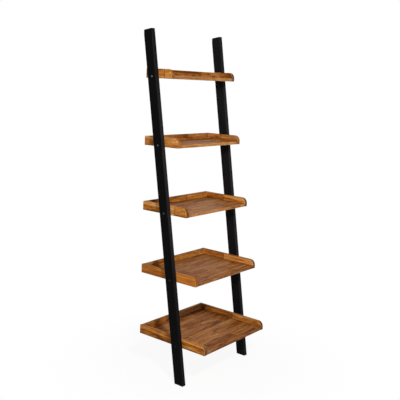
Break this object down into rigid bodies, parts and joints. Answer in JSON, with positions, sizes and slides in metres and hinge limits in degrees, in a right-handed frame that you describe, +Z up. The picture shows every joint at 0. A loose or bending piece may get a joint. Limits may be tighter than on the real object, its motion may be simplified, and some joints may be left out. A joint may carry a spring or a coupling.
{
  "type": "ladder shelf",
  "caption": "Leaning ladder shelf: black rails rest on the floor and against a wall and carry wooden trays with raised lips that get deeper towards the floor.",
  "frame": {"origin": "on the floor, at the middle of the shelf's box", "axes": "+X to the shelf's right as seen from in front, +Y to its back, at the wall, +Z up"},
  "size_m": [0.5838, 0.457, 1.829],
  "materials": {
    "black_paint": "satin black paint over wood",
    "panel_wood": "oiled brown wood glued up from strips",
    "lip_wood": "oiled orange-brown wood, grain along the lip",
    "dowel_wood": "bare beech",
    "bolt_steel": "blackened steel, brushed and a little dull"
  },
  "bodies": {
    "root": {"left_rail": "black_paint", "right_rail": "black_paint", "tier1_panel": "panel_wood", "tier1_left_lip": "lip_wood", "tier1_right_lip": "lip_wood", "tier1_back_lip": "lip_wood", "tier1_bolts": "bolt_steel", "tier1_washers": "bolt_steel", "tier1_barrel_nuts": "bolt_steel", "tier1_locating_dowels": "dowel_wood", "tier1_lip_dowels": "dowel_wood", "tier2_panel": "panel_wood", "tier2_left_lip": "lip_wood", "tier2_right_lip": "lip_wood", "tier2_back_lip": "lip_wood", "tier2_bolts": "bolt_steel", "tier2_washers": "bolt_steel", "tier2_barrel_nuts": "bolt_steel", "tier2_locating_dowels": "dowel_wood", "tier2_lip_dowels": "dowel_wood", "tier3_panel": "panel_wood", "tier3_left_lip": "lip_wood", "tier3_right_lip": "lip_wood", "tier3_back_lip": "lip_wood", "tier3_bolts": "bolt_steel", "tier3_washers": "bolt_steel", "tier3_barrel_nuts": "bolt_steel", "tier3_locating_dowels": "dowel_wood", "tier3_lip_dowels": "dowel_wood", "tier4_panel": "panel_wood", "tier4_left_lip": "lip_wood", "tier4_right_lip": "lip_wood", "tier4_back_lip": "lip_wood", "tier4_bolts": "bolt_steel", "tier4_washers": "bolt_steel", "tier4_barrel_nuts": "bolt_steel", "tier4_locating_dowels": "dowel_wood", "tier4_lip_dowels": "dowel_wood", "tier5_panel": "panel_wood", "tier5_left_lip": "lip_wood", "tier5_right_lip": "lip_wood", "tier5_back_lip": "lip_wood", "tier5_bolts": "bolt_steel", "tier5_washers": "bolt_steel", "tier5_barrel_nuts": "bolt_steel", "tier5_locating_dowels": "dowel_wood", "tier5_lip_dowels": "dowel_wood"}
  },
  "joints": []
}
